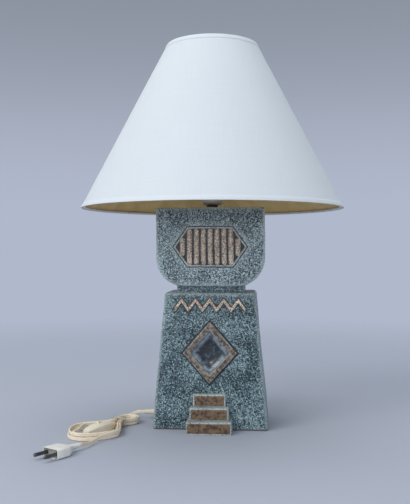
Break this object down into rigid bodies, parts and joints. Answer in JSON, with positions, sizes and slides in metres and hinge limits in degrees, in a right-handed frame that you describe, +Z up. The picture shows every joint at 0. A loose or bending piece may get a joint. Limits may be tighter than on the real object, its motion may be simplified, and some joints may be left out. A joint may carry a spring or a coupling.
{
  "type": "ceramic table lamp",
  "caption": "Table lamp with a two-tier speckled stoneware base in relief, a conical fabric shade, a screw bulb, and a flex with an in-line slide switch and a two-pin plug.",
  "frame": {"origin": "middle of the lamp on the surface that it stands on, below the axis of the shade", "axes": "+Z up along the axis of shade and bulb, front with the relief at -Y, flex leaves at -X"},
  "size_m": [0.4112, 0.4386, 0.5805],
  "materials": {
    "glazed_stoneware": "speckled satin glaze",
    "cream_plastic": "matt moulded",
    "cream_flex": "soft matt twin flex",
    "brass": "turned",
    "black_rubber": "matt",
    "zinc_steel": "zinc plated",
    "holder_grey": "satin moulded",
    "porcelain": "unglazed",
    "bulb_shell": "rolled thread",
    "black_glass": "gloss",
    "frosted_glass": "frosted",
    "clear_glass": "clear",
    "tungsten": "drawn wire",
    "white_wire": "white coated wire",
    "white_fabric": "laminated cloth",
    "gold_lining": "satin gold foil",
    "tie_grey": "coated wire",
    "slider_yellow": "satin moulded",
    "white_plastic": "satin moulded",
    "dark_plastic": "matt moulded",
    "pin_metal": "dull nickel plated"
  },
  "bodies": {
    "lamp": {"stoneware_body": "glazed_stoneware", "cord_grommet": "cream_plastic", "inner_flex": "cream_flex", "threaded_tube": "brass", "neck_bung": "black_rubber", "bung_washer": "zinc_steel", "bung_nut": "zinc_steel", "top_plate": "brass", "top_nut": "brass", "holder_cap": "holder_grey", "holder_insert": "porcelain", "terminal_screws": "brass", "holder_skirt": "holder_grey", "screw_shell": "brass", "centre_contact": "brass", "shade_carrier": "brass", "shade_ring": "holder_grey", "cord_lamp_lead": "cream_flex", "cord_hank_lower": "cream_flex", "hank_tie": "tie_grey", "switch_lower_shell": "cream_plastic", "switch_upper_shell": "cream_plastic", "switch_contacts": "brass", "switch_screws": "zinc_steel", "cord_hank_upper": "cream_flex", "cord_plug_lead": "cream_flex", "plug_relief": "white_plastic", "plug_shell": "white_plastic", "plug_insert": "dark_plastic", "plug_pins": "pin_metal"},
    "shade": {"shade_cover": "white_fabric", "shade_lining": "gold_lining", "shade_top_ring": "white_wire", "shade_spider": "white_wire", "shade_bottom_ring": "white_wire", "shade_top_trim": "white_fabric", "shade_bottom_trim": "white_fabric"},
    "bulb_tip": {"bulb_contact": "zinc_steel", "bulb_insulator": "black_glass"},
    "bulb": {"bulb_cap": "bulb_shell", "bulb_glass": "frosted_glass", "bulb_mount": "clear_glass", "bulb_filament": "tungsten"},
    "slider": {"switch_slider": "slider_yellow", "switch_bridge": "brass"}
  },
  "joints": [
    {"name": "shade_turn", "type": "hinge", "parent": "lamp", "child": "shade", "pos_m": [0, 0, 0.5336], "axis": [0, 0, 1], "continuous": true},
    {"name": "bulb_lift", "type": "slide", "parent": "lamp", "child": "bulb_tip", "axis": [0, 0, 1], "range_m": [0, 0.02]},
    {"name": "bulb_turn", "type": "hinge", "parent": "bulb_tip", "child": "bulb", "pos_m": [0, 0, 0.368], "axis": [0, 0, 1], "range_deg": [0, 1980]},
    {"name": "switch_slide", "type": "slide", "parent": "lamp", "child": "slider", "axis": [0.4384, 0.8988, 0], "range_m": [0, 0.006]}
  ],
  "couplings": [
    {"joint": "bulb_lift", "follows": "bulb_turn", "m_per_rad": 0.00057757}
  ]
}
